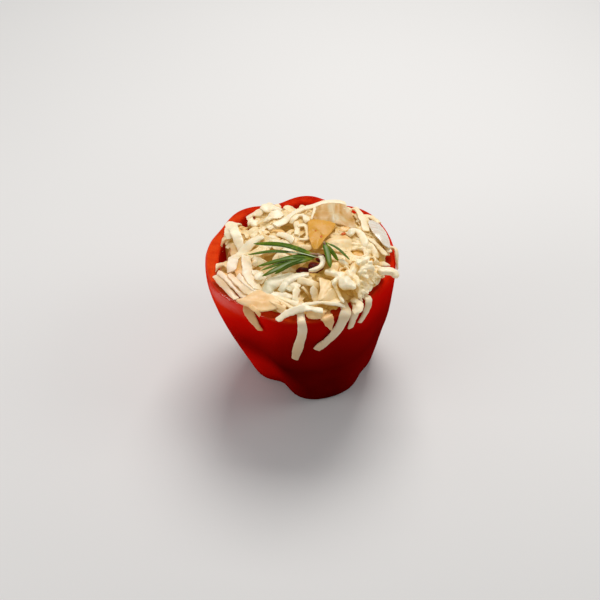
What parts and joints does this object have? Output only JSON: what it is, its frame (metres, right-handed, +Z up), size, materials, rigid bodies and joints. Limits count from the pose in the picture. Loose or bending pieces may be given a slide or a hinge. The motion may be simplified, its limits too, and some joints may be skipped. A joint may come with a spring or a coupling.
{
  "type": "stuffed bell pepper",
  "caption": "Red bell pepper cut open at the top and heaped with shredded cheese, slices and curds, with rosemary sprigs, standing on its lobed feet.",
  "frame": {"origin": "bottom centre of the whole piece's box, at the height of the feet", "axes": "+Z up through the cut opening, -Y towards the side with the long hanging shreds, +X to its right"},
  "size_m": [0.084, 0.0872, 0.0821],
  "materials": {
    "pepper_skin": "glossy waxy skin",
    "cheese_white": "moist soft cheese",
    "cheese_cream": "moist soft cheese",
    "cheese_yellow": "moist soft cheese",
    "cheese_peach": "moist soft cheese",
    "onion_white": "wet translucent onion",
    "rosemary_green": "satin leaf"
  },
  "bodies": {
    "root": {"curd": "cheese_white", "filling": "cheese_cream", "onion_slice": "onion_white", "pepper": "pepper_skin", "petal_back": "cheese_cream", "rosemary_left": "rosemary_green", "rosemary_right": "rosemary_green", "shred_back": "cheese_white", "shred_back_right": "cheese_white", "shred_corner": "cheese_white", "shred_cross": "cheese_white", "shred_front_curved": "cheese_white", "shred_front_left": "cheese_peach", "shred_front_long": "cheese_white", "shred_front_right": "cheese_white", "shred_front_short": "cheese_white", "shred_left_arc": "cheese_white", "shred_left_inner": "cheese_white", "shred_right": "cheese_white", "shred_right_edge": "cheese_white", "shred_rim_left": "cheese_peach", "slice_peach": "cheese_peach", "slice_yellow": "cheese_yellow", "wedge_front": "cheese_peach", "wedge_pale": "cheese_cream"}
  },
  "joints": []
}
